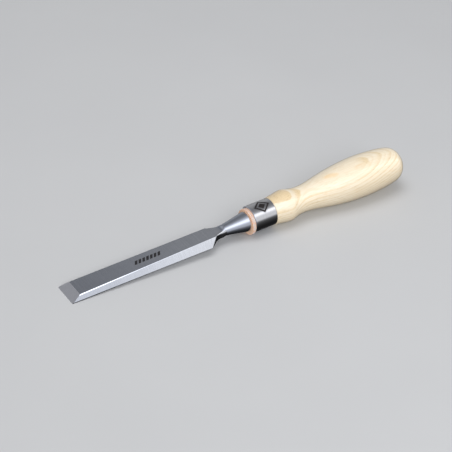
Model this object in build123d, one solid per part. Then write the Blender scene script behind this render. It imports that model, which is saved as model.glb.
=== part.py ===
from build123d import *
import math
import os
from itertools import pairwise

# Bench chisel, millimetres: blade with neck, bolster and tang, leather washer, ferrule, handle.
#
# Tool axes used while the pieces are built: x runs from the cutting edge to the butt of the
# handle, y across the blade (left is +y), z away from the flat back, which lies in z = 0.
# At the end every piece is turned about the cutting edge so that the chisel lies on a bench:
# the edge and the belly of the handle touch z = 0, and the origin is the middle of the edge.

# ---------------------------------------------------------------- blade
BLADE_W = 20.0           # width across the flat back
BEVEL_LEN = 7.2          # length of the ground cutting bevel, along x
BEVEL_TOP_T = 3.48       # blade thickness at the top of the cutting bevel
FACE_END_X = 113.8       # where the top face meets the right-hand shoulder
FACE_END_T = 5.253       # blade thickness there
FACE_W_TIP = 15.43       # width of the top face at the cutting bevel
FACE_W_END = 12.035      # width of the top face at FACE_END_X
SIDE_BEVEL_SLOPE = 1.27  # rise per mm of width of the side bevels

# Shoulders, in plan: each cut starts at full width and runs in to the top face. They are
# ground by hand, and the left one sits a little nearer the edge.
LEFT_SHOULDER_X = 107.8
LEFT_SHOULDER_END_X = 112.2
RIGHT_SHOULDER_X = 108.45
LEFT_W_END = 5.20        # width left of the middle at FACE_END_X

# Shoulder to neck: x, width right of the middle, width left of it, bottom z, top z,
# corner radius
NECK_STATIONS = [
    (FACE_END_X, 6.01, LEFT_W_END, 0.00, FACE_END_T, 0.40),
    (114.8, 5.50, 4.95, 0.00, 5.262, 0.62),
    (116.0, 5.05, 4.64, -0.05, 5.285, 0.90),
    (117.5, 4.68, 4.38, -0.20, 5.315, 1.25),
    (119.0, 4.43, 4.29, -0.50, 5.365, 1.70),
    (120.5, 4.33, 4.27, -0.90, 5.530, 2.25),
    (121.4, 4.30, 4.26, -1.12, 5.860, 2.80),
    (122.3, 4.26, 4.25, -1.32, 6.330, 3.45),
    (123.5, 4.17, 4.17, -1.52, 6.820, 4.13),
]
NECK_END_X = NECK_STATIONS[-1][0]

# ---------------------------------------------------------------- handle axis and bolster
AXIS_Z = 3.2             # height of the handle axis above the flat back
SEAT_X = 141.5           # bolster seat, front face of the washer

# Bolster, round in section: x, radius, height of the section's centre. It is forged in
# line with the middle of the blade's thickness, so it sits a little below the handle axis.
BOLSTER_STATIONS = [
    (NECK_END_X, 4.22, 2.65),
    (126.0, 4.57, 2.70),
    (128.6, 4.97, 2.68),
    (131.3, 5.45, 2.66),
    (134.0, 5.95, 2.64),
    (137.0, 6.52, 2.62),
    (SEAT_X, 7.38, 2.60),
]

# ---------------------------------------------------------------- tang
TANG_OVERLAP = 1.0       # length sunk into the bolster
TANG_LEN = 60.0          # from the seat to the end of the point
TANG_POINT_LEN = 3.0
TANG_SIDE = 6.8          # side of the square at the bolster
TANG_TIP_SIDE = 3.6      # where the point begins
TANG_END_SIDE = 1.2      # at the end of the point

# ---------------------------------------------------------------- washer and ferrule
WASHER_T = 2.8
WASHER_R = 9.8
WASHER_HOLE_R = 5.1
WASHER_OFFSET = (-0.3, -0.45)  # y, z: the disc is cut a little off centre from its hole
WASHER_ROUND = 0.45

FERRULE_X0 = SEAT_X + WASHER_T
FERRULE_X1 = 162.0
FERRULE_R = 9.75
FERRULE_WALL = 1.0
FERRULE_CHAMFER = 0.25

# ---------------------------------------------------------------- handle
TENON_R = FERRULE_R - FERRULE_WALL
TENON_CHAMFER = 0.5
FRONT_EDGE_DROP = 0.4    # fall in radius from the outline's start to the ferrule
BUTT_X = 275.0           # end of the butt

# Turned outline of the handle behind the ferrule: x, radius
HANDLE_OUTLINE = [
    (162.45, 10.06), (167.9, 10.84), (172.2, 11.55), (175.0, 11.66),
    (179.6, 10.58), (185.4, 9.64), (193.2, 9.97), (203.0, 11.62),
    (214.7, 13.58), (228.4, 15.02), (241.0, 15.34), (253.7, 14.66),
    (263.5, 13.36), (268.4, 11.85), (271.9, 8.80), (274.05, 4.95),
    (BUTT_X, 0),
]
OUTLINE_TANGENTS = [(1, 0.14), (0, -1)]

# Pilot hole, drilled in two steps from the tenon's face: radius, depth
PILOT_STEPS = [(3.2, 30.0), (2.2, 63.0)]

REST_SAMPLES = 2000      # steps along the outline when finding the bench contact


def cross_plane(x, y=0, z=AXIS_Z):
    """Plane across the tool at x: its own x is the tool's y, its own y is z."""
    return Plane(origin=(x, y, z), x_dir=(0, 1, 0), z_dir=(1, 0, 0))


def make_blank():
    """Flat part of the blade, from the cutting edge to the shoulders."""
    half = BLADE_W / 2
    side_outline = Plane.XZ * Polyline(
        (0, 0),
        (FACE_END_X, 0),
        (FACE_END_X, FACE_END_T),
        (BEVEL_LEN, BEVEL_TOP_T),
        close=True,
    )
    slab = extrude(make_face(side_outline), half, both=True)

    # The plan shape reaches past the slab in front, above and below
    front_x, bottom_z, height = -1, -2, 12
    face_taper = (FACE_W_TIP - FACE_W_END) / 2 / (FACE_END_X - BEVEL_LEN)
    left_face_y = FACE_W_TIP / 2 - face_taper * (LEFT_SHOULDER_END_X - BEVEL_LEN)
    plan_outline = Polyline(
        (front_x, -half),
        (RIGHT_SHOULDER_X, -half),
        (FACE_END_X, -FACE_W_END / 2),
        (FACE_END_X, LEFT_W_END),
        (LEFT_SHOULDER_END_X, left_face_y),
        (LEFT_SHOULDER_X, half),
        (front_x, half),
        close=True,
    )
    plan = Pos(0, 0, bottom_z) * extrude(make_face(plan_outline), height)
    blank = slab & plan

    # Side bevels: one plane each, through the long edge of the top face
    for side in (-1, 1):
        edge_start = Vector(BEVEL_LEN, side * FACE_W_TIP / 2, BEVEL_TOP_T)
        edge_end = Vector(FACE_END_X, side * FACE_W_END / 2, FACE_END_T)
        along = (edge_end - edge_start).normalized()
        down = Vector(0, side, -SIDE_BEVEL_SLOPE)
        outward = along.cross(down) * side
        blank -= Plane(origin=edge_start, x_dir=along, z_dir=outward) * Box(
            400, 60, 20, align=(Align.CENTER, Align.CENTER, Align.MIN)
        )
    return blank


def make_neck():
    """Rounded rectangles blending the shoulders into the bolster."""
    return loft([
        cross_plane(x, (left - right) / 2, (bottom + top) / 2)
        * RectangleRounded(left + right, top - bottom, corner)
        for x, right, left, bottom, top, corner in NECK_STATIONS
    ])


def make_bolster():
    return loft([cross_plane(x, z=z) * Circle(radius) for x, radius, z in BOLSTER_STATIONS])


def make_tang():
    """Square tapered spike with a short point, driven into the handle."""
    end_x = SEAT_X + TANG_LEN
    start, tip, end = [
        cross_plane(x) * Rectangle(side, side)
        for x, side in (
            (SEAT_X - TANG_OVERLAP, TANG_SIDE),
            (end_x - TANG_POINT_LEN, TANG_TIP_SIDE),
            (end_x, TANG_END_SIDE),
        )
    ]
    return loft([start, tip], ruled=True) + loft([tip, end], ruled=True)


def outer_rims(ring):
    """The two largest circular edges of a ring."""
    return ring.edges().filter_by(GeomType.CIRCLE).sort_by(lambda edge: edge.radius)[-2:]


def make_washer():
    disc = Pos(*WASHER_OFFSET) * Circle(WASHER_R)
    ring = extrude(cross_plane(SEAT_X) * (disc - Circle(WASHER_HOLE_R)), WASHER_T)
    return fillet(outer_rims(ring), WASHER_ROUND)


def make_ferrule():
    tube = extrude(
        cross_plane(FERRULE_X0) * (Circle(FERRULE_R) - Circle(TENON_R)),
        FERRULE_X1 - FERRULE_X0,
    )
    return chamfer(outer_rims(tube), FERRULE_CHAMFER)


def make_handle(outline, tang):
    """Turned handle with its tenon, hollowed for the tang."""
    start_x, start_r = HANDLE_OUTLINE[0]
    front_corners = [
        (FERRULE_X0, 0),
        (FERRULE_X0, TENON_R - TENON_CHAMFER),
        (FERRULE_X0 + TENON_CHAMFER, TENON_R),
        (FERRULE_X1, TENON_R),
        (FERRULE_X1, start_r - FRONT_EDGE_DROP),
        (start_x, start_r),
    ]
    front = [Line(a, b) for a, b in pairwise(front_corners)]
    profile = make_face([*front, outline, Line((BUTT_X, 0), (FERRULE_X0, 0))])
    handle = Pos(0, 0, AXIS_Z) * revolve(profile, Axis.X)

    for radius, depth in PILOT_STEPS:
        handle -= cross_plane(FERRULE_X0) * Cylinder(
            radius, depth, align=(Align.CENTER, Align.CENTER, Align.MIN)
        )
    # The tang's corners bite into the drilled hole
    return handle - tang


def rest_angle(outline):
    """Angle in degrees of the steepest line from the edge to the handle's underside."""
    points = [outline @ (i / REST_SAMPLES) for i in range(REST_SAMPLES + 1)]
    slope = max((point.Y - AXIS_Z) / point.X for point in points)
    return math.degrees(math.atan(slope))


tang = make_tang()
handle_outline = Spline(*HANDLE_OUTLINE, tangents=OUTLINE_TANGENTS)
pieces = {
    "blade": make_blank() + make_neck() + make_bolster() + tang,
    "leather_washer": make_washer(),
    "ferrule": make_ferrule(),
    "handle": make_handle(handle_outline, tang),
}

# Lay the chisel on the bench and write each piece
bench = Rotation(0, -rest_angle(handle_outline), 0)
os.makedirs("parts", exist_ok=True)
for name, piece in pieces.items():
    placed = bench * piece
    placed.label = name
    export_step(placed, f"parts/{name}.step")
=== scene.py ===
"""A bevel-edge chisel with a turned ash handle, a steel ferrule and a leather washer.

Shapes are written in millimetres in the tool's own axes: x from the cutting edge to the
butt, y across, the blade's flat back at z = 0 and the handle axis at z = AXIS_Z. They are
then laid on the bench, where the tool leans by REST on its cutting edge and its handle.
"""
import math

import bmesh
import bpy
import numpy as np
from mathutils import Matrix, Vector, noise


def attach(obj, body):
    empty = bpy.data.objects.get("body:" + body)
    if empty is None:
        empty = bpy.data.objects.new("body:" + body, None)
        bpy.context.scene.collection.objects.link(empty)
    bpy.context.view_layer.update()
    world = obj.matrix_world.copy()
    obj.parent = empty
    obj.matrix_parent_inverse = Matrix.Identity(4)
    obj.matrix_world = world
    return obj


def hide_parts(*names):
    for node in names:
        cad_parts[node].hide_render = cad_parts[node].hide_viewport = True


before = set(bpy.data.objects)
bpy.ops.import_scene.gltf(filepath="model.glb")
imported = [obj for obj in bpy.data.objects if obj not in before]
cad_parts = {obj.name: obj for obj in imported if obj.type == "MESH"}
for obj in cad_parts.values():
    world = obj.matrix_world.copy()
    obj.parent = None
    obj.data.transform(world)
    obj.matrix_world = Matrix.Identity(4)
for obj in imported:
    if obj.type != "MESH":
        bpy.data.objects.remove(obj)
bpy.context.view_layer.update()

REST = math.radians(2.966003)       # lean of the flat back off the bench
AXIS_Z = 3.2

# ---------------------------------------------------------------- dimensions
# Ground blade
HALF_WIDTH = 10.0
BEVEL_LENGTH, BEVEL_THICKNESS = 7.2, 3.48           # cutting bevel, and the blade at its top
FACE_END_X, FACE_END_THICKNESS = 113.8, 5.253       # far end of the top face
FACE_HALF_START, FACE_HALF_END = 15.43 / 2, 12.035 / 2
SIDE_SLOPE = 1.27                                   # side bevel: fall in z for each mm of y
EASED_AT_BEVEL, EASED_AT_SHOULDER = 0.62, 0.10      # width of the eased top corner
EDGE_BREAK = 0.05
# x of the shoulder on the blade's side and on its top face
SHOULDER_PLUS_Y, SHOULDER_MINUS_Y = (107.8, 112.2), (108.45, FACE_END_X)

# Neck: x, width on the -y side, width on the +y side, bottom z, top z, corner radius
NECK = [
    (112.2, 5.95, 5.88, 0.012, 5.212, 0.25), (113.0, 5.96, 5.45, 0.012, 5.226, 0.32),
    (113.8, 5.94, 5.18, 0.010, 5.242, 0.42), (114.8, 5.50, 4.95, 0.000, 5.262, 0.62),
    (116.0, 5.05, 4.64, -0.05, 5.285, 0.90), (117.5, 4.68, 4.38, -0.20, 5.315, 1.25),
    (119.0, 4.43, 4.29, -0.50, 5.365, 1.70), (120.5, 4.33, 4.27, -0.90, 5.530, 2.25),
    (121.4, 4.30, 4.26, -1.12, 5.860, 2.80), (122.3, 4.26, 4.25, -1.32, 6.330, 3.45),
    (123.5, 4.22, 4.22, -1.56, 6.860, 4.18),
]
NECK_MIDDLE_X = 117.5       # rings are spaced evenly on each side of this
# Bolster: x, radius, centre z
BOLSTER = [
    (123.5, 4.22, 2.65), (126.0, 4.57, 2.70), (128.6, 4.97, 2.68), (131.3, 5.45, 2.66),
    (134.0, 5.95, 2.64), (137.0, 6.52, 2.62), (141.5, 7.38, 2.60),
]
SEAT_X = BOLSTER[-1][0]
# Rounded rim of the bolster's seat: distance before the seat, cut off the radius
SEAT_RIM = [(0.16, 0.02), (0.04, 0.06), (0.0, 0.18)]
# Seat face and square tang: x, half width, corner radius
TANG = [
    (SEAT_X, 6.2, 5.5), (SEAT_X, 3.45, 0.15), (155, 3.0, 0.12), (170, 2.54, 0.12),
    (185, 2.15, 0.12), (198.5, 1.79, 0.12), (201.5, 0.6, 0.12),
]

# Leather washer; the rim is cut off centre by SHIFT
WASHER_RADIUS, WASHER_HOLE, WASHER_THICKNESS = 9.8, 5.1, 2.8
WASHER_CORNER = 0.42
WASHER_SHIFT_Y, WASHER_SHIFT_Z = -0.3, -0.45
WASHER_AROUND = 256
# Degrees from straight up, depth cut inside (+) or left outside (-) the true circle
WASHER_TRIM = [
    (-180, 0.0), (-140, -0.02), (-110, 0.05), (-80, 0.24), (-55, 0.12), (-35, 0.16),
    (-12, 0.42), (8, 0.58), (30, 0.66), (52, 0.74), (70, 0.35), (86, -0.12),
    (100, 0.05), (140, 0.0), (180, 0.0),
]

# Ferrule
FERRULE_START, FERRULE_END = SEAT_X + WASHER_THICKNESS, 162.0
FERRULE_RADIUS, TENON_RADIUS = 9.75, 8.75
FRONT_LIP, BACK_LIP = 0.55, 0.25
BORE_GAP = 0.002
FERRULE_AROUND = 144

# Handle behind the ferrule: x, radius
HANDLE = [
    (162.45, 10.06), (167.9, 10.84), (172.2, 11.55), (175.0, 11.66), (179.6, 10.58),
    (185.4, 9.64), (193.2, 9.97), (203.0, 11.62), (214.7, 13.58), (228.4, 15.02),
    (241.0, 15.34), (253.7, 14.66), (263.5, 13.36), (268.4, 11.85), (271.9, 8.80),
    (274.05, 4.95), (275.0, 0.0),
]
HANDLE_STEP = 0.75          # length of one mesh step along the outline
COLLAR_EDGE = 0.42          # rounding where the handle meets the ferrule
# Tang hole, which narrows with the tang: depth from the tenon's end, radius
TANG_HOLE = [(60.5, 0.0), (60.5, 2.75), (30, 3.8), (0, 4.9)]
HANDLE_AROUND = 160

# ------------------------------------------------------------- mesh helpers


def to_bench(points):
    """Tool millimetres to metres on the bench."""
    p = np.asarray(points, float)
    c, s = math.cos(REST), math.sin(REST)
    x, y, z = p[..., 0], p[..., 1], p[..., 2]
    return np.stack([x * c - z * s, y, x * s + z * c], -1) * 0.001


def link(name, data):
    obj = bpy.data.objects.new(name, data)
    bpy.context.scene.collection.objects.link(obj)
    return obj


def mesh_from(name, verts, faces):
    mesh = bpy.data.meshes.new(name)
    mesh.from_pydata([tuple(v) for v in verts], [], [tuple(int(i) for i in f) for f in faces])
    mesh.validate()
    mesh.update()
    return mesh


def solid(name, verts, faces):
    """Closed mesh with its normals turned outwards."""
    mesh = mesh_from(name, verts, faces)
    bm = bmesh.new()
    bm.from_mesh(mesh)
    bmesh.ops.recalc_face_normals(bm, faces=bm.faces)
    bm.to_mesh(mesh)
    bm.free()
    return mesh


def smooth_by_angle(mesh, degrees):
    mesh.polygons.foreach_set("use_smooth", [True] * len(mesh.polygons))
    mesh.set_sharp_from_angle(angle=math.radians(degrees))


def smooth_piece(name, verts, faces, degrees):
    """Object from tool coordinates, smooth except across edges sharper than degrees."""
    mesh = solid(name, to_bench(verts), faces)
    smooth_by_angle(mesh, degrees)
    return link(name, mesh)


def clamped_spline(points, start, end, samples):
    """C2 curve through points with the given end directions; samples holds one count a span."""
    p = np.asarray(points, float)
    h = np.linalg.norm(np.diff(p, axis=0), axis=1)
    n = len(p)
    a = np.zeros((n, n))
    b = np.zeros((n, 2))
    a[0, 0] = a[-1, -1] = 1.0
    b[0] = np.asarray(start, float) / np.linalg.norm(start)
    b[-1] = np.asarray(end, float) / np.linalg.norm(end)
    for i in range(1, n - 1):
        a[i, i - 1], a[i, i], a[i, i + 1] = h[i], 2 * (h[i - 1] + h[i]), h[i - 1]
        b[i] = 3 * (h[i] * (p[i] - p[i - 1]) / h[i - 1] + h[i - 1] * (p[i + 1] - p[i]) / h[i])
    slope = np.linalg.solve(a, b)
    curve = []
    for i, count in enumerate(samples):
        for t in np.arange(count) / count:
            curve.append((2 * t**3 - 3 * t**2 + 1) * p[i]
                         + (t**3 - 2 * t**2 + t) * h[i] * slope[i]
                         + (-2 * t**3 + 3 * t**2) * p[i + 1]
                         + (t**3 - t**2) * h[i] * slope[i + 1])
    curve.append(p[-1])
    return np.array(curve)


def natural_spline(xs, ys, at):
    """Cubic spline through ys at xs, with no curvature at the ends, evaluated at at."""
    xs, ys, at = (np.asarray(v, float) for v in (xs, ys, at))
    n = len(xs)
    h = np.diff(xs)
    a = np.zeros((n, n))
    b = np.zeros(n)
    a[0, 0] = a[-1, -1] = 1
    for i in range(1, n - 1):
        a[i, i - 1], a[i, i], a[i, i + 1] = h[i - 1], 2 * (h[i - 1] + h[i]), h[i]
        b[i] = 6 * ((ys[i + 1] - ys[i]) / h[i] - (ys[i] - ys[i - 1]) / h[i - 1])
    m = np.linalg.solve(a, b)
    k = np.clip(np.searchsorted(xs, at) - 1, 0, n - 2)
    t0, t1 = xs[k + 1] - at, at - xs[k]
    return ((m[k] * t0**3 + m[k + 1] * t1**3) / (6 * h[k])
            + (ys[k] / h[k] - m[k] * h[k] / 6) * t0
            + (ys[k + 1] / h[k] - m[k + 1] * h[k] / 6) * t1)


def quarter_arc(x, r, radius, start):
    """Quarter circle about x, r, from start degrees and turning back by 90."""
    angles = [math.radians(start - 90 * i / 6) for i in range(7)]
    return [(x + radius * math.cos(a), r + radius * math.sin(a)) for a in angles]


def lathe(outline, around, closed):
    """Mesh turned about the handle axis. outline is x, r; points with r = 0 become poles."""
    rings, verts, faces = [], [], []
    angles = np.arange(around) * 2 * math.pi / around
    for x, r in outline:
        if r < 1e-9:
            rings.append([len(verts)])
            verts.append((x, 0.0, AXIS_Z))
        else:
            rings.append(list(range(len(verts), len(verts) + around)))
            verts += [(x, r * math.sin(t), AXIS_Z + r * math.cos(t)) for t in angles]
    pairs = list(zip(rings, rings[1:]))
    if closed:
        pairs.append((rings[-1], rings[0]))
    for a, b in pairs:
        for i in range(around):
            j = (i + 1) % around
            if len(a) == 1:
                faces.append((a[0], b[i], b[j]))
            elif len(b) == 1:
                faces.append((a[i], b[0], a[j]))
            else:
                faces.append((a[i], b[i], b[j], a[j]))
    return verts, faces


def loft_faces(rings, size, closed):
    """Quads between successive rings of size points; closed joins the last to the first."""
    faces = []
    for k in range(rings if closed else rings - 1):
        after = (k + 1) % rings
        for i in range(size):
            j = (i + 1) % size
            faces.append((k * size + i, k * size + j, after * size + j, after * size + i))
    return faces


# --------------------------------------------------------------------- blade
# Corners of one side of the ground blade
(EDGE, LAND_START, EASED_LOW, EASED_TOP, TOP_END, EASED_END,
 LAND_END, BASE_END, INNER_BASE, INNER_TOP) = range(10)


def prism_corners():
    """Corner points of the ground blade's +y side, then of its -y side, mirrored to +y."""
    length = FACE_END_X - BEVEL_LENGTH
    taper = (FACE_HALF_START - FACE_HALF_END) / length
    rise = (FACE_END_THICKNESS - BEVEL_THICKNESS) / length
    bevel_rise = BEVEL_THICKNESS / BEVEL_LENGTH

    def face_y(x):
        return FACE_HALF_START - taper * (x - BEVEL_LENGTH)

    def face_z(x):
        return BEVEL_THICKNESS + rise * (x - BEVEL_LENGTH)

    def land_z(x):
        return face_z(x) - SIDE_SLOPE * (HALF_WIDTH - face_y(x))

    def eased_strip(x, width):
        """Upper and lower edge of the eased corner at x."""
        run = width / math.hypot(1, SIDE_SLOPE)
        return ((x, face_y(x) - 0.2 * width, face_z(x)),
                (x, face_y(x) + run, face_z(x) - SIDE_SLOPE * run))

    def slide_to_bevel(point):
        """Move a point along x on to the cutting bevel."""
        return (point[2] / bevel_rise, point[1], point[2])

    # where the land meets the cutting bevel, by repeated substitution
    land_x = 0.0
    for _ in range(8):
        land_x = land_z(land_x) / bevel_rise

    def side(side_x, top_x):
        start_top, start_low = eased_strip(BEVEL_LENGTH, EASED_AT_BEVEL)
        end_top, end_low = eased_strip(top_x, EASED_AT_SHOULDER)
        y = face_y(top_x)
        share = (end_low[1] - y) / (HALF_WIDTH - y)
        end_low = (top_x + (side_x - top_x) * share, end_low[1], end_low[2])
        return [
            (0, HALF_WIDTH, 0), (land_x, HALF_WIDTH, land_z(land_x)),
            slide_to_bevel(start_low), slide_to_bevel(start_top), end_top, end_low,
            (side_x, HALF_WIDTH, land_z(side_x)), (side_x, HALF_WIDTH, 0),
            (top_x, y, 0), (top_x, y, face_z(top_x) - 0.03),
        ]

    return side(*SHOULDER_PLUS_Y), side(*SHOULDER_MINUS_Y)


def pick(side, *corners):
    return [side[corner] for corner in corners]


def build_prism():
    """The ground part of the blade, with every long edge broken."""
    plus_points, minus_points = prism_corners()
    bm = bmesh.new()
    plus = [bm.verts.new(v) for v in plus_points]
    minus = [bm.verts.new((x, -y, z)) for x, y, z in minus_points]
    faces = [
        # cutting bevel
        pick(plus, EDGE, LAND_START, EASED_LOW, EASED_TOP)
        + pick(minus, EASED_TOP, EASED_LOW, LAND_START, EDGE),
        # top face
        pick(plus, EASED_TOP, TOP_END) + pick(minus, TOP_END, EASED_TOP),
        # end buried in the neck
        pick(plus, INNER_BASE) + pick(minus, INNER_BASE, INNER_TOP, TOP_END)
        + pick(plus, TOP_END, INNER_TOP),
        # flat back
        pick(minus, EDGE, BASE_END, INNER_BASE) + pick(plus, INNER_BASE, BASE_END, EDGE),
    ]
    for side in (plus, minus):
        faces += [
            pick(side, EASED_TOP, EASED_LOW, EASED_END, TOP_END),       # eased corner
            pick(side, LAND_START, LAND_END, EASED_END, EASED_LOW),     # side bevel
            pick(side, EDGE, BASE_END, LAND_END, LAND_START),           # land
            pick(side, BASE_END, INNER_BASE, INNER_TOP, TOP_END, EASED_END, LAND_END),
        ]
    for face in faces:
        bm.faces.new(face)
    bmesh.ops.recalc_face_normals(bm, faces=bm.faces)

    broken = []
    for side in (plus, minus):
        for a, b in ((LAND_START, LAND_END), (EDGE, BASE_END), (LAND_END, EASED_END),
                     (LAND_END, BASE_END), (BASE_END, INNER_BASE), (LAND_START, EASED_LOW),
                     (LAND_START, EDGE)):
            broken.append(bm.edges.get((side[a], side[b])))
    broken.append(bm.edges.get((plus[EASED_TOP], minus[EASED_TOP])))
    bmesh.ops.bevel(bm, geom=broken, offset=EDGE_BREAK, offset_type="OFFSET", segments=2,
                    profile=0.5, affect="EDGES", clamp_overlap=True)
    mesh = bpy.data.meshes.new("prism")
    bm.to_mesh(mesh)
    bm.free()
    return link("prism", mesh)


def rounded_ring(x, half, bottom, top, radius, y_centre=0.0):
    """Rounded rectangle across the tool axis, with the same point count for any radius."""
    side_steps, corner_points = 7, 9
    z_centre, half_z = (bottom + top) / 2, (top - bottom) / 2
    r = min(radius, half - 1e-3, half_z - 1e-3)
    # signs of y and z at the corner, its first angle, and where the next corner starts
    corners = [
        (1, 1, 90.0, (half, -(half_z - r))), (1, -1, 0.0, (-(half - r), -half_z)),
        (-1, -1, -90.0, (-half, half_z - r)), (-1, 1, -180.0, (half - r, half_z)),
    ]
    points = []
    for sign_y, sign_z, start, (next_y, next_z) in corners:
        for i in range(corner_points):
            a = math.radians(start - 90 * i / (corner_points - 1))
            points.append((sign_y * (half - r) + r * math.cos(a),
                           sign_z * (half_z - r) + r * math.sin(a)))
        y, z = points[-1]
        for i in range(1, side_steps):
            f = i / side_steps
            points.append((y + (next_y - y) * f, z + (next_z - z) * f))
    return [(x, y_centre + y, z_centre + z) for y, z in points]


def square_ring(x, half, z, radius):
    return rounded_ring(x, half, z - half, z + half, radius)


def build_neck():
    """Neck, bolster, seat and tang as one tube of rings."""
    rings = [rounded_ring(110.4, 5.6, 0.25, 4.95, 0.2)]         # start, buried in the blade
    neck = np.array(NECK)
    xs = np.unique(np.concatenate([np.linspace(NECK[0][0], NECK_MIDDLE_X, 26),
                                   np.linspace(NECK_MIDDLE_X, NECK[-1][0], 26)]))
    columns = [natural_spline(neck[:, 0], neck[:, i], xs) for i in range(1, 6)]
    for x, minus_y, plus_y, bottom, top, radius in zip(xs, *columns):
        rings.append(rounded_ring(x, (plus_y + minus_y) / 2, bottom, top, max(radius, 0.2),
                                  y_centre=(plus_y - minus_y) / 2))

    bolster = np.array(BOLSTER)
    xs = np.linspace(BOLSTER[0][0], SEAT_X, 28)[1:]
    radii, centres = (natural_spline(bolster[:, 0], bolster[:, i], xs) for i in (1, 2))
    for x, r, z in zip(xs[:-1], radii, centres):
        rings.append(square_ring(x, r, z, r))
    for before, cut in SEAT_RIM:
        rings.append(square_ring(xs[-1] - before, radii[-1] - cut, centres[-1], radii[-1]))
    for x, half, radius in TANG:
        rings.append(square_ring(x, half, AXIS_Z, radius))

    size = len(rings[0])
    faces = loft_faces(len(rings), size, closed=False)
    faces.append(tuple(range(size - 1, -1, -1)))
    faces.append(tuple((len(rings) - 1) * size + i for i in range(size)))
    return link("neck", solid("neck", [p for ring in rings for p in ring], faces))


def build_blade():
    """Ground blade and neck joined, with materials 0 ground, 1 polished and 2 tang."""
    prism, neck = build_prism(), build_neck()
    join = prism.modifiers.new("join", "BOOLEAN")
    join.operation = "UNION"
    join.solver = "EXACT"
    join.object = neck
    depsgraph = bpy.context.evaluated_depsgraph_get()
    mesh = bpy.data.meshes.new_from_object(prism.evaluated_get(depsgraph))
    for part in (prism, neck):
        bpy.data.objects.remove(part)

    bm = bmesh.new()
    bm.from_mesh(mesh)
    bmesh.ops.remove_doubles(bm, verts=bm.verts, dist=0.002)
    bmesh.ops.dissolve_degenerate(bm, dist=0.001, edges=bm.edges)
    bm.normal_update()
    ground = []
    skew = SHOULDER_MINUS_Y[1] - SHOULDER_PLUS_Y[1]
    for face in bm.faces:
        c = face.calc_center_median()
        ground_end = FACE_END_X - (c.y + FACE_HALF_END) * skew / (2 * FACE_HALF_END)
        in_prism = c.x < ground_end + 0.01
        flat_top = c.x < 121.2 and face.normal.z > 0.992
        if in_prism or flat_top:
            face.material_index = 0
        else:
            face.material_index = 1 if c.x < SEAT_X + 0.01 else 2
        ground.append(in_prism)
    for v in bm.verts:
        v.co = Vector(to_bench(v.co))
    bm.to_mesh(mesh)
    bm.free()
    mesh.name = "blade_forging"
    smooth_by_angle(mesh, 14)
    mesh.polygons.foreach_set("use_smooth", [not g for g in ground])
    return link("blade_forging", mesh)


# ------------------------------------------------- handle, ferrule and washer


def build_handle():
    counts = [max(6, int(round(math.dist(a, b) / HANDLE_STEP)))
              for a, b in zip(HANDLE, HANDLE[1:])]
    curve = clamped_spline(HANDLE, start=(1, 0.14), end=(0, -1), samples=counts)
    outline = [(FERRULE_START + depth, r) for depth, r in TANG_HOLE]
    outline += [(FERRULE_START, TENON_RADIUS - 0.5), (FERRULE_START + 0.5, TENON_RADIUS)]
    outline += [(x, TENON_RADIUS) for x in np.linspace(FERRULE_START + 2, FERRULE_END - 1, 6)]
    edge_r = HANDLE[0][1] - COLLAR_EDGE
    outline += [(FERRULE_END, TENON_RADIUS), (FERRULE_END, 9.2), (FERRULE_END, edge_r)]
    for i in range(1, 6):
        a = math.radians(90 * i / 6)
        outline.append((FERRULE_END + COLLAR_EDGE * (1 - math.cos(a)),
                        edge_r + 0.40 * math.sin(a)))
    outline += [tuple(p) for p in curve]
    verts, faces = lathe(outline, HANDLE_AROUND, closed=False)
    return smooth_piece("handle_turned", verts, faces, degrees=32)


def build_ferrule():
    """Tube with a rolled lip towards the blade and a smaller one towards the handle."""
    start, end, r = FERRULE_START, FERRULE_END, FERRULE_RADIUS
    bore = TENON_RADIUS + BORE_GAP
    outline = quarter_arc(start + FRONT_LIP, r - FRONT_LIP, FRONT_LIP, start=180)
    outline += [(x, r) for x in np.linspace(start + 1.0, end - 1.0, 14)]
    outline += quarter_arc(end - BACK_LIP, r - BACK_LIP, BACK_LIP, start=90)
    outline += [(end, TENON_RADIUS + 0.02), (end - 0.1, bore)]
    outline += [(x, bore) for x in np.linspace(end - 2, start + 2, 6)]
    outline += [(start + 0.1, bore), (start, TENON_RADIUS + 0.05)]
    verts, faces = lathe(outline, FERRULE_AROUND, closed=True)
    return smooth_piece("ferrule_tube", verts, faces, degrees=35)


def washer_trim(angle):
    degrees = (math.degrees(angle) + 180) % 360 - 180
    return float(np.interp(degrees, [t[0] for t in WASHER_TRIM], [t[1] for t in WASHER_TRIM]))


def washer_profile():
    """Section of the washer: x offset, share of the way from hole to rim, weight of the
    rim's rounding, and side (-1 face towards the bolster, 0 rim, 1 face to the ferrule)."""
    t, corner = WASHER_THICKNESS, WASHER_CORNER
    shares = np.linspace(0, 1, 13)
    arc = [math.radians(90 * i / 6) for i in range(1, 6)]
    profile = [(0.0, s, 0.0, -1) for s in shares]
    profile += [(corner * (1 - math.cos(a)), 1.0, math.sin(a), 0) for a in arc]
    profile += [(corner + (t - 2 * corner) * (i / 12), 1.0, 1.0, 0) for i in range(13)]
    profile += [(t - corner + corner * math.sin(a), 1.0, math.cos(a), 0) for a in arc]
    profile += [(t, s, 0.0, 1) for s in shares[::-1]]
    return profile


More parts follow.
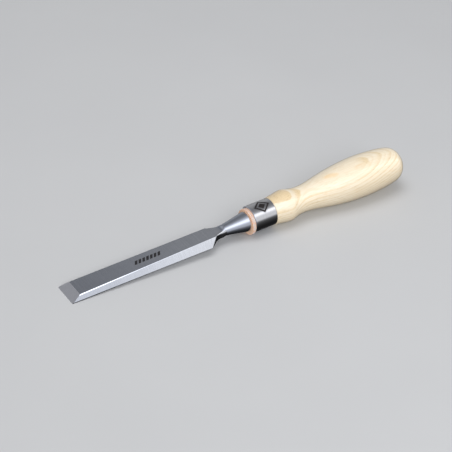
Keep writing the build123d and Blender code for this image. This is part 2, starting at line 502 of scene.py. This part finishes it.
def build_washer():
    """Leather disc: cut rim a little barrelled and furry, faces pressed flat."""
    profile = washer_profile()
    shift = np.array([WASHER_SHIFT_Y, WASHER_SHIFT_Z])
    verts = []
    for k in range(WASHER_AROUND):
        angle = 2 * math.pi * k / WASHER_AROUND
        cy, cz = math.sin(angle), math.cos(angle)
        outward = np.array([cy, cz])
        trim = 0.25 * (washer_trim(angle - 0.09) + 2 * washer_trim(angle)
                       + washer_trim(angle + 0.09))
        # the hole is centred on y = 0, the rim is off centre
        hole = WASHER_HOLE * outward
        rim = shift + (WASHER_RADIUS - WASHER_CORNER - trim) * outward
        for dx, share, weight, side in profile:
            y, z = hole + (rim - hole) * share
            x = SEAT_X + dx
            if side == 0:
                fur = (0.055 * noise.noise(Vector((x * 2.3, cy * 14, cz * 14)))
                       + 0.04 * noise.noise(Vector((x * 5.1, cy * 33, cz * 33)))
                       + 0.05 * noise.noise(Vector((1.7, cy * 3.0, cz * 3.0))))
                barrel = 0.07 * math.sin(math.pi * (dx / WASHER_THICKNESS))
                out = (WASHER_CORNER + barrel + fur) * weight
                y += cy * out
                z += cz * out
            elif side < 0:
                # slightly uneven outside the bolster, where nothing presses on it
                r = math.hypot(y, z)
                if r > 7.6:
                    grain = noise.noise(Vector((7.0, y * 1.1, z * 1.1)))
                    x += 0.05 * grain * min((r - 7.6) / 0.6, 1) + 0.03
            verts.append((x, y, AXIS_Z + z))
    faces = loft_faces(WASHER_AROUND, len(profile), closed=True)
    return smooth_piece("leather_disc", verts, faces, degrees=50)


# ------------------------------------------------------------- shader helpers


def srgb(r, g, b):
    def linear(c):
        c /= 255.0
        return c / 12.92 if c <= 0.04045 else ((c + 0.055) / 1.055) ** 2.4
    return (linear(r), linear(g), linear(b), 1.0)


class Value:
    """A node's output socket. Arithmetic on it adds math nodes to the tree."""

    def __init__(self, net, socket):
        self.net, self.socket = net, socket

    def __add__(self, other):
        return self.net.calc("ADD", self, other)

    def __radd__(self, other):
        return self.net.calc("ADD", other, self)

    def __sub__(self, other):
        return self.net.calc("SUBTRACT", self, other)

    def __rsub__(self, other):
        return self.net.calc("SUBTRACT", other, self)

    def __mul__(self, other):
        return self.net.calc("MULTIPLY", self, other)

    def __truediv__(self, other):
        return self.net.calc("DIVIDE", self, other)

    def __abs__(self):
        return self.net.calc("ABSOLUTE", self)

    def ease(self, start, end, low=0.0, high=1.0):
        """Smooth step from low at start to high at end; start may be the larger."""
        return self.net.out("ShaderNodeMapRange", {0: self, 1: start, 2: end, 3: low, 4: high},
                            interpolation_type="SMOOTHSTEP", clamp=True)


class Net:
    """A short way to write shader nodes. Inputs are numbers, colours or Values."""

    def __init__(self, tree):
        self.tree = tree
        tree.nodes.clear()

    def add(self, kind, inputs=None, **settings):
        node = self.tree.nodes.new(kind)
        for key, setting in settings.items():
            setattr(node, key, setting)
        for key, value in (inputs or {}).items():
            if isinstance(value, Value):
                self.tree.links.new(value.socket, node.inputs[key])
            elif value is not None:
                node.inputs[key].default_value = value
        return node

    def out(self, kind, inputs=None, output=0, **settings):
        """Add a node and return one of its outputs."""
        return Value(self, self.add(kind, inputs, **settings).outputs[output])

    def calc(self, operation, a, b=None):
        return self.out("ShaderNodeMath", {0: a, 1: b}, operation=operation)

    def mix(self, factor, a, b, blend="MIX"):
        """Colour a where factor is 0, b where it is 1."""
        return self.out("ShaderNodeMix", {0: factor, 6: a, 7: b}, output=2,
                        data_type="RGBA", blend_type=blend, clamp_factor=True)

    def lerp(self, factor, a, b):
        """Number a where factor is 0, b where it is 1."""
        return self.out("ShaderNodeMix", {0: factor, 2: a, 3: b},
                        data_type="FLOAT", clamp_factor=True)

    def mix_shader(self, factor, a, b):
        return self.out("ShaderNodeMixShader", {0: factor, 1: a, 2: b})

    def vec(self, x, y, z):
        return self.out("ShaderNodeCombineXYZ", {0: x, 1: y, 2: z})

    def split(self, vector):
        node = self.add("ShaderNodeSeparateXYZ", {0: vector})
        return [Value(self, socket) for socket in node.outputs]

    def noise(self, vector, scale=1.0, detail=2.0, roughness=0.5):
        return self.out("ShaderNodeTexNoise", {"Vector": vector, "Scale": scale,
                                               "Detail": detail, "Roughness": roughness},
                        noise_dimensions="3D")

    def streaks(self, point, frequency, detail=2.0, roughness=0.5):
        """Noise at point with its own frequency per mm on each axis; 1 adds no node."""
        scaled = [c if f == 1 else c * f for c, f in zip(point, frequency)]
        return self.noise(self.vec(*scaled), detail=detail, roughness=roughness)

    def bump(self, height, distance, normal=None):
        return self.out("ShaderNodeBump", {"Strength": 1.0, "Distance": distance,
                                           "Height": height, "Normal": normal})

    def tool_position(self):
        """Position in the tool's axes, millimetres."""
        coords = self.out("ShaderNodeTexCoord", output="Object")
        return self.out("ShaderNodeMapping", {"Vector": coords, "Rotation": (0, REST, 0),
                                              "Scale": (1000, 1000, 1000)},
                        vector_type="POINT")

    def tool_normal(self):
        """Face normal in the tool's axes."""
        normal = self.out("ShaderNodeNewGeometry", output="True Normal")
        return self.out("ShaderNodeMapping", {"Vector": normal, "Rotation": (0, REST, 0)},
                        vector_type="POINT")

    def finish(self, **inputs):
        """Principled surface; underscores in the names stand for spaces."""
        named = {key.replace("_", " "): value for key, value in inputs.items()}
        self.add("ShaderNodeOutputMaterial", {0: self.out("ShaderNodeBsdfPrincipled", named)})


def material(name):
    mat = bpy.data.materials.new(name)
    mat.use_nodes = True
    return mat, Net(mat.node_tree)


# ------------------------------------------------------------------ materials


def etched_bars(net, x, y, nz):
    """Mask of seven slanting bars on the top face."""
    centre_x, centre_y, slant, pitch = 62.9, 0.15, -0.55, 2.95
    across = y - centre_y
    lean = (x - centre_x) + across * slant
    phase = net.calc("FRACT", lean * (1 / pitch) + 0.5)
    inside = abs(lean).ease(start=10.32, end=10.27) * abs(across).ease(start=1.95, end=1.88)
    bars = abs(phase - 0.5).ease(start=0.365, end=0.335)
    blot = net.streaks((x, y, 1.0), frequency=(2.2, 2.2, 1))
    return (bars * inside * nz.ease(start=0.9, end=0.95)
            * blot.ease(start=0.15, end=0.55, low=0.85, high=1.0))


def ground_steel():
    """Satin ground blade: grind lines over the faces and the cutting bevel, and a mark, with
    painted shading along the faces and a painted highlight on the eased corner.
    """
    mat, net = material("ground_steel")
    x, y, z = net.split(net.tool_position())
    nx, ny, nz = net.split(net.tool_normal())
    on_bevel = nx.ease(start=-0.30, end=-0.38)          # cutting bevel
    on_side = abs(ny).ease(start=0.45, end=0.6)         # side bevels and lands
    on_back = nz.ease(start=-0.6, end=-0.8)
    # grind lines: thin in x on the faces, thin in y on the cutting bevel
    wobble = net.streaks((x, y, 0.0), frequency=(0.08, 0.12, 1), detail=1.0)
    wavy = (x + wobble * 1.2, y, z)
    fine = net.streaks(wavy, frequency=(5.5, 0.10, 0.10), detail=3.0, roughness=0.65)
    coarse = net.streaks(wavy, frequency=(1.7, 0.05, 0.05), detail=2.0, roughness=0.6)
    along = net.streaks((x, y, 0.0), frequency=(0.16, 6.0, 1), detail=3.0, roughness=0.65)
    lines = net.lerp(on_bevel, fine * 0.7 + coarse * 0.3, along)
    cloud = net.streaks((x, y, 4.0), frequency=(0.05, 0.10, 1), detail=3.0, roughness=0.55)
    speck = net.streaks((x, y, z), frequency=(1.6, 0.9, 1), detail=3.0, roughness=0.7)
    # contrast of each layer in the colour
    tone = (lines - 0.5) * 1.15 + (cloud - 0.5) * 0.45 + (speck - 0.5) * 0.40
    base = net.mix(0.5 + tone, srgb(178, 180, 184), srgb(218, 219, 223))
    warm = net.mix(0.5 + tone, srgb(193, 190, 188), srgb(222, 219, 217))
    base = net.mix(on_bevel * 0.8, base, warm)
    # painted shading: the faces are darker towards the cutting edge and lighter towards the
    # shoulder, and the cutting bevel a little lighter
    painted_shading = net.lerp(on_side, x.ease(start=0.0, end=100.0, low=0.90, high=1.0),
                    x.ease(start=4.0, end=108.0, low=0.80, high=1.07))
    painted_shading = net.lerp(on_bevel, painted_shading, 1.04)
    base = net.mix(1.0, base, net.vec(painted_shading, painted_shading, painted_shading), blend="MULTIPLY")
    # painted highlight: the eased corner is painted near white towards the cutting edge; it is
    # found by its normal, which lies between the faces'
    eased_corner_highlight = (nz.ease(start=0.655, end=0.69) * nz.ease(start=0.82, end=0.78)
             * (1.0 - on_bevel) * x.ease(start=66.0, end=22.0))
    base = net.mix(eased_corner_highlight, base, srgb(250, 250, 252))
    etch = etched_bars(net, x, y, nz)
    base = net.mix(etch, base, srgb(34, 32, 34))
    # roughness: lines and handling marks, then a value of its own for each region
    spot = net.noise(net.vec(x, y, z), scale=0.9, detail=3.0, roughness=0.6)
    rough = 0.20 + (lines - 0.5) * 0.10 + (spot - 0.5) * 0.06
    rough = net.lerp(on_bevel, rough, 0.33)
    rough = net.lerp(on_side, rough, rough - 0.02)
    for region, value in ((eased_corner_highlight, 0.07), (on_back, 0.30), (etch, 0.62)):
        rough = net.lerp(region, rough, value)
    normal = net.bump(lines, distance=0.0000035)
    normal = net.bump(etch * -1.0, distance=0.00002, normal=normal)
    metal = net.lerp(on_back, 1.0, 0.35)
    net.finish(Base_Color=base, Metallic=net.lerp(etch, metal, 0.2), Roughness=rough,
               Normal=normal)
    return mat


def polished_steel():
    """Neck and bolster: buffed, with faint rings and clouds."""
    mat, net = material("polished_steel")
    x, y, z = net.split(net.tool_position())
    ring = net.streaks((x, y, z), frequency=(4.0, 0.22, 0.22), detail=3.0, roughness=0.6)
    cloud = net.noise(net.vec(x, y, z), scale=0.22, detail=3.0)
    base = net.mix(ring * 0.4 + cloud * 0.6, srgb(186, 187, 192), srgb(208, 210, 215))
    rough = 0.05 + ring * 0.07 + cloud.ease(start=0.45, end=0.7) * 0.05
    net.finish(Base_Color=base, Metallic=1.0, Roughness=rough,
               Normal=net.bump(ring, distance=0.0000025))
    return mat


def forged_tang():
    mat, net = material("forged_tang")
    scale = net.noise(net.tool_position(), scale=0.9, detail=5.0, roughness=0.65)
    base = net.mix(scale, srgb(44, 42, 44), srgb(92, 86, 84))
    net.finish(Base_Color=base, Metallic=0.7, Roughness=0.5 + scale * 0.3,
               Normal=net.bump(scale, distance=0.00008))
    return mat


def brushed_ferrule():
    """Tube brushed round its length, with dark etched lozenges on top."""
    centre_x, centre_arc = 153.5, -1.9          # arc is measured from the top towards +y
    half_length, half_arc = 6.2, 5.6
    dark = srgb(36, 31, 31)
    mat, net = material("brushed_ferrule")
    x, y, z = net.split(net.tool_position())
    dz = z - AXIS_Z
    arc = net.calc("ARCTAN2", y, dz) * FERRULE_RADIUS
    fine = net.streaks((x, y, dz), frequency=(9.0, 0.35, 0.35), detail=3.0, roughness=0.7)
    wide = net.streaks((x, y, dz), frequency=(2.2, 0.15, 0.15), detail=2.0, roughness=0.6)
    lines = fine * 0.65 + wide * 0.35
    base = net.mix(lines, srgb(178, 178, 182), srgb(216, 216, 219))
    # lozenge distance: 0 at the centre, 1 at the outer outline
    d = abs(x - centre_x) / half_length + abs(arc - centre_arc) / half_arc
    border = d.ease(start=1.0, end=0.985) * d.ease(start=0.715, end=0.73)
    core = d.ease(start=0.47, end=0.455)
    outside = net.calc("SQRT", y * y + dz * dz).ease(start=9.3, end=9.4)    # not in the bore
    etch = net.calc("MAXIMUM", border, core) * outside
    base = net.mix(etch, base, dark)
    # the metal round the mark is a little dulled
    halo = d.ease(start=1.30, end=0.95) * outside
    base = net.mix(halo * 0.42, base, net.mix(etch, srgb(120, 118, 120), dark))
    rough = 0.12 + (lines - 0.5) * 0.12 + halo * 0.06
    rough = net.lerp(etch, rough, 0.65)
    normal = net.bump(lines, distance=0.000002)
    normal = net.bump(etch * -1.0, distance=0.00003, normal=normal)
    net.finish(Base_Color=base, Metallic=net.lerp(etch, 1.0, 0.15), Roughness=rough,
               Normal=normal)
    return mat


def natural_leather():
    """Smooth tan grain on the faces, paler and fibrous on the cut rim."""
    mat, net = material("natural_leather")
    position = net.tool_position()
    x, y, z = net.split(position)
    dz = z - (AXIS_Z + WASHER_SHIFT_Z)
    dy = y - WASHER_SHIFT_Y
    r = net.calc("SQRT", dy * dy + dz * dz)
    nx = net.split(net.tool_normal())[0]
    rim = abs(nx).ease(start=0.90, end=0.45) * r.ease(start=6.5, end=7.5)
    point = (x, dy, dz)
    patch = net.streaks(point, frequency=(0.5, 0.55, 0.55), detail=3.0, roughness=0.55)
    fibre = net.streaks(point, frequency=(3.2, 1.5, 1.5), detail=4.0, roughness=0.7)
    grain = net.noise(position, scale=4.5, detail=4.0, roughness=0.6)
    face = net.mix(grain, srgb(255, 190, 150), srgb(255, 224, 194))
    cut = net.mix(patch.ease(start=0.40, end=0.62), srgb(216, 176, 153), srgb(212, 202, 197))
    # pale and dark fibres
    cut = net.mix(fibre.ease(start=0.50, end=0.68) * 0.8, cut, srgb(226, 214, 206))
    cut = net.mix(fibre.ease(start=0.44, end=0.28) * 0.7, cut, srgb(196, 140, 112))
    # the grain layer shows as a warmer line along the rim's corner next to the bolster
    band = (x - SEAT_X).ease(start=0.45, end=0.22)
    cut = net.mix(band * 0.6, cut, srgb(236, 160, 118))
    net.finish(Base_Color=net.mix(rim, face, cut), Roughness=net.lerp(rim, 0.52, 0.85),
               Normal=net.bump(net.lerp(rim, grain, fibre), distance=0.00009),
               Subsurface_Weight=0.08, Subsurface_Radius=(0.0012, 0.0006, 0.0004),
               Sheen_Weight=0.15)
    return mat


def pale_ash():
    """Turned ash under thin lacquer. Growth rings are nearly flat sheets along the handle."""
    ring_pitch, top_ring_z, bow = 2.08, 16.0, 0.0164
    mat, net = material("pale_ash")
    x, y, z = net.split(net.tool_position())
    zc = z - AXIS_Z
    point = (x, y, zc)
    warp_long = net.streaks(point, frequency=(0.012, 0.05, 0.05))
    warp_mid = net.streaks(point, frequency=(0.05, 0.22, 0.22))
    warp_short = net.streaks(point, frequency=(0.16, 0.9, 0.9), roughness=0.6)

    def sheet_height(bowing):
        """Distance through the sheets, which tilt in y and x and bow across the handle."""
        return zc + y * -0.108 + (x - 228.0) * -0.098 + y * y * bowing

    height = (sheet_height(bow + (x - 226.0) * -0.00033) + (warp_long - 0.5) * 1.2
              + (warp_mid - 0.5) * 0.45 + (warp_short - 0.5) * 0.10)
    ring = net.calc("MINIMUM", (height - top_ring_z) / ring_pitch + 40.0, 39.97)
    number = net.calc("FLOOR", ring)
    f = ring - number           # place within the ring

    # the top of the collar cuts into one more ring: a wide tongue of early wood,
    # which runs round on to the +y side next to the ferrule
    tongue = sheet_height(bow) + (warp_short - 0.5) * 0.35
    tongue = tongue + (net.calc("MAXIMUM", y, 0.0)
                       * x.ease(start=176.0, end=169.0, low=0.0, high=0.42))
    tongue = tongue.ease(start=16.22, end=16.40) * x.ease(start=182.0, end=179.0)

    # early wood starts sharply and fades into the late wood, later in the top ring
    fade_start = net.lerp(ring.ease(start=38.9, end=39.0), 0.54, 0.85)
    fade_end = net.lerp(ring.ease(start=38.9, end=39.0), 0.10, 0.28)
    early = f.ease(start=0.0, end=0.06) * f.ease(start=fade_start, end=fade_end)
    vary = net.noise(net.vec(number, 3.1, 7.7), scale=0.83, detail=0.0)
    faint = net.streaks(point, frequency=(0.035, 0.09, 0.09))
    share = (vary.ease(start=0.25, end=0.75, low=0.7, high=1.0)
             * faint.ease(start=0.36, end=0.62, low=0.68, high=1.20))
    # the top ring only just breaks the surface on the belly, less faintly at its butt end
    belly = ring.ease(start=38.93, end=38.98) * (x.ease(start=192.0, end=202.0)
                                                 * x.ease(start=241.0, end=233.0))
    share = share * net.lerp(belly, 1.0, 0.30)
    behind = ring.ease(start=38.93, end=38.98) * x.ease(start=192.0, end=202.0)
    share = share * net.lerp(behind, 1.0, 0.62)
    early = net.calc("MAXIMUM", early * share, tongue * 1.15)
    # a second, finer line in each ring
    fine = abs(f - 0.74).ease(start=0.10, end=0.02) * 0.34

    # pores: short fine dashes along the grain, mostly in the early wood
    pore = net.streaks(point, frequency=(0.34, 2.7, 2.7), roughness=0.6)
    pores = pore.ease(start=0.56, end=0.70) * (0.16 + net.calc("MINIMUM", early, 1.0) * 0.84)
    streak = net.streaks(point, frequency=(0.045, 1.3, 1.3), detail=3.0, roughness=0.6)
    fleck = net.streaks(point, frequency=(0.10, 0.34, 0.34))
    late = net.mix(streak.ease(start=0.3, end=0.7), srgb(240, 224, 196), srgb(247, 235, 213))
    base = net.mix(net.calc("MAXIMUM", early, fine) * 0.64, late, srgb(227, 200, 152))
    base = net.mix(fleck.ease(start=0.62, end=0.78) * 0.35, base, srgb(236, 200, 150))

    def stain(centre, length, width, turn):
        """A soft warm patch in the top of the wood; turn in degrees about z."""
        ax, ay = x - centre[0], y - centre[1]
        c, s = math.cos(math.radians(turn)), math.sin(math.radians(turn))
        u = (ax * c + ay * s) / length
        v = (ay * c - ax * s) / width
        spread = u * u + v * v + (warp_short - 0.5) * 1.6
        return spread.ease(start=1.3, end=0.2) * zc.ease(start=4.0, end=8.0)

    patch = stain(centre=(211.5, -2.6), length=6.2, width=2.1, turn=-14)
    base = net.mix(patch * 0.50, base, srgb(246, 208, 150))
    patch = stain(centre=(241.5, -3.0), length=2.2, width=5.2, turn=12)
    base = net.mix(patch * 0.28, base, srgb(225, 196, 140))
    base = net.mix(pores * 0.62, base, srgb(178, 146, 98))
    net.finish(Base_Color=base, Roughness=0.40 + pores * 0.2,
               Normal=net.bump(streak * 0.25 - pores, distance=0.00003),
               Specular_IOR_Level=0.6, Coat_Weight=1.0, Coat_Roughness=0.11, Coat_IOR=1.53)
    return mat


def pale_floor():
    """Matt floor, clear from below, that gives an even bounce to whatever lies on it."""
    mat, net = material("pale_floor")
    cloud = net.noise(net.out("ShaderNodeTexCoord", output="Object"), scale=9.0, detail=4.0)
    colour = net.mix(cloud, (0.61, 0.615, 0.625, 1), (0.65, 0.655, 0.665, 1))
    surface = net.mix_shader(net.out("ShaderNodeNewGeometry", output="Backfacing"),
                             net.out("ShaderNodeBsdfDiffuse", {0: colour}),
                             net.out("ShaderNodeBsdfTransparent"))
    bounce = net.out("ShaderNodeEmission", {"Color": (0.97, 0.98, 1.0, 1), "Strength": 0.50})
    diffuse_ray = net.out("ShaderNodeLightPath", output="Is Diffuse Ray")
    net.add("ShaderNodeOutputMaterial", {0: net.mix_shader(diffuse_ray, surface, bounce)})
    return mat


# --------------------------------------------------------------------- pieces
blade_mats = ground_steel(), polished_steel(), forged_tang()
ferrule_mat, leather_mat, ash_mat = brushed_ferrule(), natural_leather(), pale_ash()

# build function, materials, CAD node replaced, slot
PIECES = [
    (build_blade, blade_mats, "blade", "blade_steel"),
    (build_handle, [ash_mat], "handle", "handle_ash"),
    (build_ferrule, [ferrule_mat], "ferrule", "ferrule_steel"),
    (build_washer, [leather_mat], "leather_washer", "washer_leather"),
]
for build, mats, node_name, slot_name in PIECES:
    piece = build()
    for mat in mats:
        piece.data.materials.append(mat)
    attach(piece, "root")
    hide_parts(node_name)

# ---------------------------------------------------------- stage, in metres
FLOOR_HALF = 6
floor_corners = [(sx * FLOOR_HALF, sy * FLOOR_HALF, 0)
                 for sx, sy in ((-1, -1), (1, -1), (1, 1), (-1, 1))]
floor = link("floor", mesh_from("floor", floor_corners, [(0, 1, 2, 3)]))
floor.data.materials.append(pale_floor())
floor.visible_glossy = False


def disk_light(name, location, size, power, target=(0.15, 0, 0.01), color=(1, 1, 1)):
    light = bpy.data.lights.new(name, "AREA")
    light.shape = "DISK"
    light.size = size
    light.energy = power
    light.color = color
    obj = link(name, light)
    obj.location = location
    aim = Vector(target) - Vector(location)
    obj.rotation_euler = aim.to_track_quat("-Z", "Y").to_euler()
    obj.visible_glossy = False
    return obj


disk_light("overhead", location=(0.10, 0.10, 1.15), size=0.9, power=5.1)
disk_light("front", location=(0.12, -0.95, 0.85), size=0.8, power=5.6, color=(0.98, 0.99, 1.0))
low_fill = disk_light("low_fill", location=(-0.30, -0.80, 0.16), target=(0.18, 0, 0.01),
                      size=0.5, power=3.0, color=(1.0, 0.985, 0.955))
butt_fill = disk_light("butt_fill", location=(0.90, -0.25, 0.40), target=(0.24, 0, 0.02),
                       size=0.5, power=1.3, color=(1.0, 0.985, 0.965))
# the two fills light the tool only: the floor close to them would burn out
unlit = bpy.data.collections.new("unlit_by_fills")
unlit.objects.link(floor)
unlit.collection_objects[0].light_linking.link_state = "EXCLUDE"
for fill in (low_fill, butt_fill):
    fill.light_linking.receiver_collection = unlit

# What the steel reflects. Tilt in degrees from straight up towards -y, brightness
SKY_TOWARDS_BUTT = [
    (-180, .03), (-150, .05), (-120, .20), (-100, .40), (-75, .48), (-58, .45), (-44, .36),
    (-29, .31), (-15, .28), (0, .34), (8, .44), (15, .56), (20, .72), (25, 1.30), (30, 1.86),
    (41, 1.84), (47, 1.50), (52, 1.16), (59, 1.02), (79, 1.00), (85, .86), (90, .56),
    (95, .28), (102, .14), (112, .085), (128, .04), (150, .018), (180, .02),
]
SKY_ELSEWHERE = [
    (-180, .04), (-150, .07), (-120, .22), (-94, .36), (-73, .39), (-52, .27), (-31, .26),
    (-10, .36), (8, .66), (22, 1.12), (32, 1.75), (42, 2.0), (52, 1.96), (60, 1.42),
    (68, 1.02), (75, .84), (97, .64), (106, .36), (118, .17), (139, .06), (161, .04),
    (180, .03),
]
SKY_PEAK = 2.0      # the ramp holds brightness as a share of this


def sky_ramp(net, turn, stops):
    """Brightness against turn, which is 0 to 1 for -180 to 180 degrees of tilt."""
    node = net.add("ShaderNodeValToRGB", {0: turn})
    node.color_ramp.interpolation = "LINEAR"
    elements = node.color_ramp.elements
    while len(elements) > 1:
        elements.remove(elements[-1])
    for i, (degrees, level) in enumerate(stops):
        position = degrees / 360.0 + 0.5
        element = elements[0] if i == 0 else elements.new(position)
        element.position = position
        share = level / SKY_PEAK
        element.color = (share, share, share, 1)
    return Value(net, node.outputs[0]) * SKY_PEAK


def build_world():
    """Grey studio with one broad soft box on the -y side, seen only in reflections."""
    world = bpy.data.worlds.new("studio")
    bpy.context.scene.world = world
    world.use_nodes = True
    net = Net(world.node_tree)
    dx, dy, dz = net.split(net.out("ShaderNodeTexCoord", output="Generated"))
    tilt = net.calc("ARCTAN2", dy * -1.0, dz)
    turn = tilt * (0.5 / math.pi) + 0.5
    towards_butt = sky_ramp(net, turn, SKY_TOWARDS_BUTT)
    elsewhere = sky_ramp(net, turn, SKY_ELSEWHERE)
    level = net.lerp(dx.ease(start=0.17, end=0.40), elsewhere, towards_butt)
    # towards the edge end: brighter on the +y side, dimmer on the -y side
    level = level * net.lerp(tilt.ease(start=-0.2, end=-0.5), 1.0,
                             dx.ease(start=-0.02, end=-0.30, low=1.0, high=1.75))
    level = level * net.lerp(tilt.ease(start=0.1, end=0.3), 1.0,
                             dx.ease(start=0.05, end=-0.15, low=1.0, high=0.62))
    tint = net.mix(dx.ease(start=0.30, end=0.40), (0.89, 0.935, 1.04, 1),
                   (0.975, 0.985, 1.0, 1))

    def background(color, strength):
        return net.out("ShaderNodeBackground", {0: color, 1: strength})

    reflected = background(color=tint, strength=level)
    ambient = background(color=(0.97, 0.98, 1.0, 1), strength=0.40)
    seen = background(color=(0.74, 0.745, 0.755, 1), strength=1.0)
    path = net.add("ShaderNodeLightPath")
    glossy_ray, camera_ray = (Value(net, path.outputs[name])
                              for name in ("Is Glossy Ray", "Is Camera Ray"))
    shader = net.mix_shader(glossy_ray, ambient, reflected)
    shader = net.mix_shader(camera_ray, shader, seen)
    net.add("ShaderNodeOutputWorld", {0: shader})


build_world()

# --------------------------------------------------------------------- camera
# Directions of the camera's own axes, and its place in metres
CAMERA_RIGHT = (0.8429077283, -0.5363713161, 0.0425719719)
CAMERA_UP = (0.2910639585, 0.5210890440, 0.8023390681)
CAMERA_BACK = (-0.4525354501, -0.6639066346, 0.5953483409)
CAMERA_PLACE = (-0.3777268288, -0.7375241542, 0.6737520401)

camera_data = bpy.data.cameras.new("camera")
camera_data.sensor_width = 36.0
camera_data.lens = 128.3455
camera_data.shift_y = -0.00110619469
camera_data.clip_start = 0.01
camera_data.clip_end = 50.0
camera = link("camera", camera_data)
camera.matrix_world = Matrix([
    *zip(CAMERA_RIGHT, CAMERA_UP, CAMERA_BACK, CAMERA_PLACE),
    (0, 0, 0, 1),
])

scene = bpy.context.scene
scene.camera = camera
scene.view_settings.view_transform = "Standard"
scene.view_settings.look = "None"
scene.view_settings.exposure = 0.0
